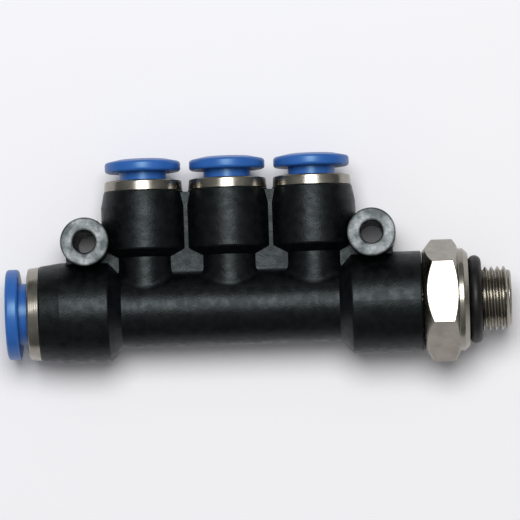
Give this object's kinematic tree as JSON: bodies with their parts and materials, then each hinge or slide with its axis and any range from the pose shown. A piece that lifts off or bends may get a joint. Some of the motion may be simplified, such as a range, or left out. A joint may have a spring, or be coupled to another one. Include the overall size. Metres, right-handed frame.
{
  "type": "air distributor",
  "caption": "Push-in pneumatic manifold: tube port and swivelling threaded stud on the run, a row of smaller tube ports on its side, and screw lugs.",
  "frame": {"origin": "midway between the two screw holes, on the plane of the lugs' backs, where the panel lies", "axes": "+X along the run towards the threaded stud, +Y the way the branch ports point, +Z away from the panel"},
  "size_m": [0.0753, 0.0318, 0.017],
  "materials": {
    "body_resin": "moulded, fine texture",
    "collar_blue": "smooth moulded",
    "plated_brass": "bright nickel plate",
    "spring_steel": "stamped strip",
    "seal_rubber": "moulded",
    "backing_resin": "plain"
  },
  "bodies": {
    "manifold": {"manifold_body": "body_resin", "stem_retaining_ring": "spring_steel", "run_tube_seal": "seal_rubber", "run_claw_backing_ring": "backing_resin", "run_lock_claw": "spring_steel", "run_guide_ring": "plated_brass", "branch_1_tube_seal": "seal_rubber", "branch_1_claw_backing_ring": "backing_resin", "branch_1_lock_claw": "spring_steel", "branch_1_guide_ring": "plated_brass", "branch_2_tube_seal": "seal_rubber", "branch_2_claw_backing_ring": "backing_resin", "branch_2_lock_claw": "spring_steel", "branch_2_guide_ring": "plated_brass", "branch_3_tube_seal": "seal_rubber", "branch_3_claw_backing_ring": "backing_resin", "branch_3_lock_claw": "spring_steel", "branch_3_guide_ring": "plated_brass"},
    "stud": {"threaded_stud": "plated_brass", "thread_o_ring": "seal_rubber", "stem_o_ring": "seal_rubber"},
    "run_collar": {"run_release_collar": "collar_blue"},
    "branch_1_collar": {"branch_1_release_collar": "collar_blue"},
    "branch_2_collar": {"branch_2_release_collar": "collar_blue"},
    "branch_3_collar": {"branch_3_release_collar": "collar_blue"}
  },
  "joints": [
    {"name": "stud_swivel", "type": "hinge", "parent": "manifold", "child": "stud", "pos_m": [0.0285, -0.0102, 0.0075], "axis": [1, 0, 0], "continuous": true},
    {"name": "run_collar_press", "type": "slide", "parent": "manifold", "child": "run_collar", "axis": [1, 0, 0], "range_m": [0, 0.00115], "stiffness_N_per_m": 2000},
    {"name": "branch_1_collar_press", "type": "slide", "parent": "manifold", "child": "branch_1_collar", "axis": [0, -1, 0], "range_m": [0, 0.00115], "stiffness_N_per_m": 2000},
    {"name": "branch_2_collar_press", "type": "slide", "parent": "manifold", "child": "branch_2_collar", "axis": [0, -1, 0], "range_m": [0, 0.00115], "stiffness_N_per_m": 2000},
    {"name": "branch_3_collar_press", "type": "slide", "parent": "manifold", "child": "branch_3_collar", "axis": [0, -1, 0], "range_m": [0, 0.00115], "stiffness_N_per_m": 2000}
  ]
}
